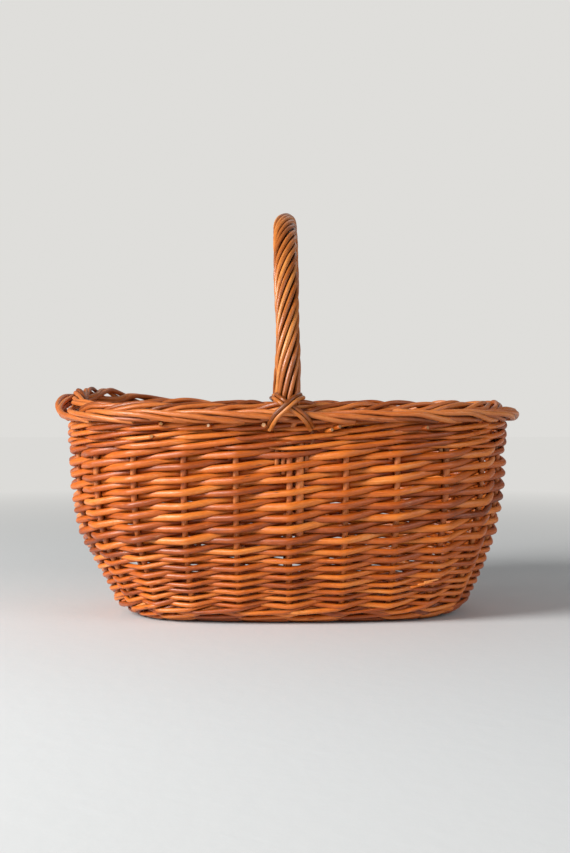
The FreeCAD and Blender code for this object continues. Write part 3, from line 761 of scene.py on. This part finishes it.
# Points are (across from the leg, outward from the wall, height above the wale): up to the right over the
# border, round behind the leg, and down to the right over the first crossing.
LASH_ROUTE = [(-17.5, 8, -7), (-15.5, 11.5, -4), (-13, 19, 0.5), (-10, FACE, 5), (-1, FACE + 3.6, 13.5),
              (6, FACE + 0.5, 19.5), (10.5, 15, 22), (13.4, 4, 22.5), (9.8, -9.5, 23), (0, -13.4, 23),
              (-9.8, -9.5, 23), (-13.4, 4, 22.5), (-11.8, 15, 21), (-7, FACE - 0.5, 17.5),
              (1.6, FACE + 0.2, 12), (11, FACE + 0.3, 5), (15.5, 19.5, 0), (18, 11.5, -4), (20, 8, -7)]

PAIR_SIDE, PAIR_UP = 0.68, 0.74       # the way from the first rod of the lashing to the second


def lashing(side_sign, side_name):
    """Two thin rods laid side by side that cross in front of the handle's leg."""
    bundle = Bundle()
    for k in (0, 1):
        points = []
        for i, (across, out, height) in enumerate(LASH_ROUTE):
            share = i / (len(LASH_ROUTE) - 1)
            sideways = PAIR_SIDE * min(max((share - 0.5) * 10, -1), 1)
            place = np.array([BOW_SHIFT + across, side_sign * (HALF_DEPTH + out), BORDER_BASE + height])
            points.append(place + k * 2 * LASH_RADIUS * np.array([sideways, 0, PAIR_UP]))
        bundle.add(spline(points, 2.2), LASH_RADIUS, 12)
    bundle.build(f"lashing_rods_{side_name}", handle_willow, "wrapping_rods", f"lashing_{side_name}")


lashing(-1, "front")
lashing(1, "back")

# ------------------------------------------------------------------ base
LONG_ROWS, LONG_RADIUS = (-20.0, -10.0, 0.0, 10.0, 20.0), 2.7
# The long sticks fan out towards the ends: (share of the reach, share of the row's place).
LONG_FAN = [(-1, 1.9), (-0.72, 1.25), (-0.4, 1), (0, 1), (0.4, 1), (0.72, 1.25), (1, 1.9)]
# Each cross stick lies CROSS_STEP beside the inner end of a stake, which is INNER_END in from the foot.
CROSS_STAKES, CROSS_STEP, INNER_END, CROSS_RADIUS = (-2, -1, 0, 1, 2), 7.6, 38.0, 3.2
BASE_ROUNDS, ROUND_STEP, OVER_UNDER, BASE_WEAVER_RADIUS = 12, 4.25, 4.2, 2.15


def base_sticks():
    slab_x, slab_y = slab_high[0], slab_high[1]
    bundle = Bundle()
    for row in LONG_ROWS:
        reach = slab_x - 6 - 0.35 * abs(row)
        points = np.array([[reach * along, row * fan, BASE_MIDDLE] for along, fan in LONG_FAN])
        bundle.add(spline(points, 4), LONG_RADIUS, 12)
    bundle.build("base_long_rods", base_willow, "base", "base_long_sticks")

    bundle = Bundle()
    for index in CROSS_STAKES:
        end = plan(np.array([index * SPACE]), np.array([FOOT_OFFSET - INNER_END]))[0][0]
        place = end - math.copysign(CROSS_STEP, index)
        reach = slab_y * math.sqrt(1 - (place / slab_x) ** 2) - 5
        points = np.array([[place, y, BASE_MIDDLE + 1.5] for y in np.linspace(-reach, reach, 8)])
        bundle.add(spline(points, 4), CROSS_RADIUS, 12)
    bundle.build("base_cross_rods", base_willow, "base", "base_cross_sticks")


def base_weavers():
    """Two rods that wind outwards round the base, over and under the sticks in turn."""
    for strand in range(2):
        run = np.linspace(0, BASE_ROUNDS * PERIMETER, int(BASE_ROUNDS * STAKES * 10))
        inset = FOOT_OFFSET - 3 - ROUND_STEP * (BASE_ROUNDS - run / PERIMETER)
        x, y, _ = plan(run, inset)
        beat = math.pi * run / SPACE + math.pi * strand
        points = np.stack([x, y, BASE_MIDDLE + 0.6 + OVER_UNDER * np.cos(beat)], axis=1)
        bundle = Bundle()
        bundle.add(even(points, 3.2), BASE_WEAVER_RADIUS, 10)
        bundle.build(f"base_weaver_{strand + 1}", base_willow, "base", "base_weave")


base_sticks()
base_weavers()

# ------------------------------------------------------------------ stage, light and camera
WALL_COLOUR, FLOOR_COLOUR = linear("DCDBD8"), linear("DADDDF")
FLOOR_HALF = 6.0                      # metres, as all of this section
WORLD_LIGHT, WORLD_SEEN = 0.27, 1.03  # the world's strength as a light, and as the camera sees it
# Lights: name, place, what it points at, size, watts and colour.
LIGHTS = [("key", (-1.85, -1.15, 1.05), (0, 0, 0.14), 1.1, 81, (1.0, 0.985, 0.96)),
          ("fill", (1.6, -1.2, 0.9), (0, 0, 0.15), 1.4, 12, (0.95, 0.97, 1.0)),
          ("back", (0.4, 1.6, 1.4), (0, 0, 0.15), 1.2, 2, (1.0, 1.0, 1.0))]
CAMERA_PLACE, CAMERA_AIM = (-0.028, -1.35, 0.2115), (-0.0024, 0, 0.1834)
SENSOR, LENS = 36.0, 56.3             # millimetres


def floor():
    """A pale floor that brightens into the wall's colour far from the basket."""
    mesh = bpy.data.meshes.new("floor")
    corners = [(FLOOR_HALF * x, FLOOR_HALF * y, 0) for x, y in ((-1, -1), (1, -1), (1, 1), (-1, 1))]
    mesh.from_pydata(corners, [], [(0, 1, 2, 3)])
    g = Graph("pale_floor")
    place = g.node("ShaderNodeTexCoord").outputs["Object"]
    far = g.node("ShaderNodeVectorMath", {0: place}, operation="LENGTH").outputs["Value"]
    fade = g.ramp(g.math("MULTIPLY", far, 0.25), [(0.12, 0.0), (0.45, 1.0)])
    plaster = g.node("ShaderNodeTexNoise", {"Vector": place, "Scale": 60.0, "Detail": 4.0})
    bump = g.node("ShaderNodeBump", {"Height": plaster.outputs["Fac"], "Strength": 0.15, "Distance": 0.002})
    matte = g.node("ShaderNodeBsdfPrincipled", {"Base Color": FLOOR_COLOUR, "Roughness": 0.85,
                                                "Normal": bump.outputs["Normal"]})
    glow = g.node("ShaderNodeEmission", {"Color": WALL_COLOUR, "Strength": 1.0})
    both = g.node("ShaderNodeMixShader", {0: fade, 1: matte.outputs["BSDF"], 2: glow.outputs["Emission"]})
    g.node("ShaderNodeOutputMaterial", {"Surface": both.outputs["Shader"]})
    mesh.materials.append(g.material)
    plane = bpy.data.objects.new("floor", mesh)
    bpy.context.scene.collection.objects.link(plane)


def aimed(item, place, target):
    """Put the light or camera at its place, looking at the target."""
    item.location = place
    item.rotation_euler = (Vector(target) - Vector(place)).to_track_quat("-Z", "Y").to_euler()
    bpy.context.scene.collection.objects.link(item)


def area_light(name, place, target, size, power, colour):
    lamp = bpy.data.lights.new(name, "AREA")
    lamp.shape, lamp.size, lamp.energy, lamp.color = "DISK", size, power, colour
    aimed(bpy.data.objects.new(name, lamp), place, target)


def wall():
    """The pale world behind, brighter to the camera than as a light."""
    world = bpy.data.worlds.new("studio")
    world.use_nodes = True
    background = world.node_tree.nodes["Background"]
    background.inputs["Color"].default_value = WALL_COLOUR
    rays = world.node_tree.nodes.new("ShaderNodeLightPath")
    power = world.node_tree.nodes.new("ShaderNodeMapRange")
    power.inputs["To Min"].default_value, power.inputs["To Max"].default_value = WORLD_LIGHT, WORLD_SEEN
    world.node_tree.links.new(rays.outputs["Is Camera Ray"], power.inputs["Value"])
    world.node_tree.links.new(power.outputs["Result"], background.inputs["Strength"])
    bpy.context.scene.world = world


def camera():
    lens = bpy.data.cameras.new("camera")
    lens.sensor_width, lens.lens = SENSOR, LENS
    view = bpy.data.objects.new("camera", lens)
    aimed(view, CAMERA_PLACE, CAMERA_AIM)
    bpy.context.scene.camera = view


floor()
wall()
for light in LIGHTS:
    area_light(*light)
camera()
bpy.context.scene.view_settings.view_transform = "Standard"
